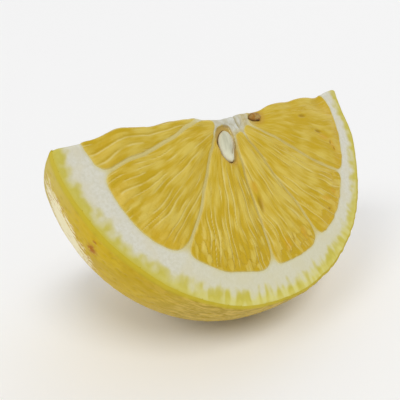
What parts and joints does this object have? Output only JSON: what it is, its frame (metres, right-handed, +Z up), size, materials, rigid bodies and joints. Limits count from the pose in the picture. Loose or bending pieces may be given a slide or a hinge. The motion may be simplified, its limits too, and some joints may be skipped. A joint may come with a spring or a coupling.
{
  "type": "lemon wedge",
  "caption": "Thick wedge of fresh lemon with its rind on, cut across the fruit and again down through the core, lying on its peel with both cut faces up.",
  "frame": {"origin": "On the surface that the wedge rests on, under the middle of its box.", "axes": "+X along the ridge where the two cut faces meet, -Y the side that the cross cut with the fan of segments faces, +Z up."},
  "size_m": [0.0598, 0.0392, 0.0351],
  "materials": {
    "peel": "waxy yellow skin with fine oil glands",
    "pith": "matt off-white pith, membranes and core",
    "flesh": "moist golden flesh with pale juice sacs",
    "seed": "smooth cream seed, brown at its skin"
  },
  "bodies": {
    "root": {"lemon_wedge": "peel"}
  },
  "joints": []
}
